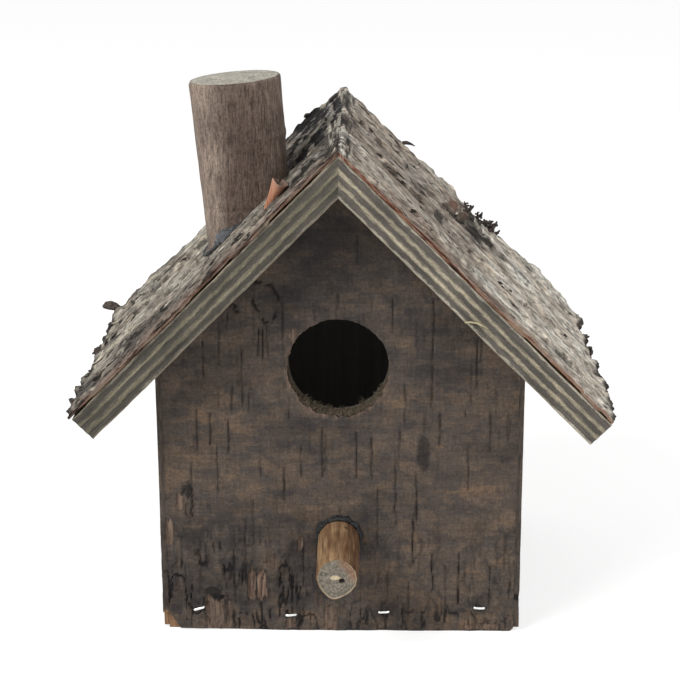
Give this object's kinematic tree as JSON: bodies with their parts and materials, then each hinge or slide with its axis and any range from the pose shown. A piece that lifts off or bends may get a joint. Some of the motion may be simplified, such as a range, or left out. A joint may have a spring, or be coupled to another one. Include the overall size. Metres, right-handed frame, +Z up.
{
  "type": "hanging birdhouse",
  "caption": "Gabled plywood birdhouse clad in bark, with a round entrance, a branch perch, a mitred bark roof and a leaning branch chimney; hangs by a hole in its back.",
  "frame": {"origin": "middle of the base, halfway between the front of the front wall and the back of the back wall", "axes": "+Z up; the entrance faces -Y; +X to the right as one looks at the entrance"},
  "size_m": [0.1738, 0.1289, 0.178],
  "materials": {
    "wall_plywood": "bare plywood, weathered",
    "roof_plywood": "bare plywood, weathered grey, layers showing",
    "wall_bark": "dark smooth bark with upright slits",
    "roof_bark": "weathered grey bark, cracked",
    "branch": "fine upright bark, sawn end grain",
    "peg": "stripped branch, sawn end grain",
    "glue": "set hot-melt glue",
    "steel": "bright wire"
  },
  "bodies": {
    "root": {"front_wall": "wall_plywood", "back_wall": "wall_plywood", "left_wall": "wall_plywood", "right_wall": "wall_plywood", "floor": "wall_plywood", "left_roof_panel": "roof_plywood", "right_roof_panel": "roof_plywood", "front_bark": "wall_bark", "left_bark": "wall_bark", "right_bark": "wall_bark", "left_roof_bark": "roof_bark", "right_roof_bark": "roof_bark", "chimney": "branch", "chimney_glue": "glue", "perch": "peg", "perch_glue": "glue", "front_staples": "steel", "back_staples": "steel", "left_staples": "steel", "right_staples": "steel", "front_brads": "steel", "back_brads": "steel", "left_roof_brads": "steel", "right_roof_brads": "steel", "ridge_brads": "steel"}
  },
  "joints": []
}
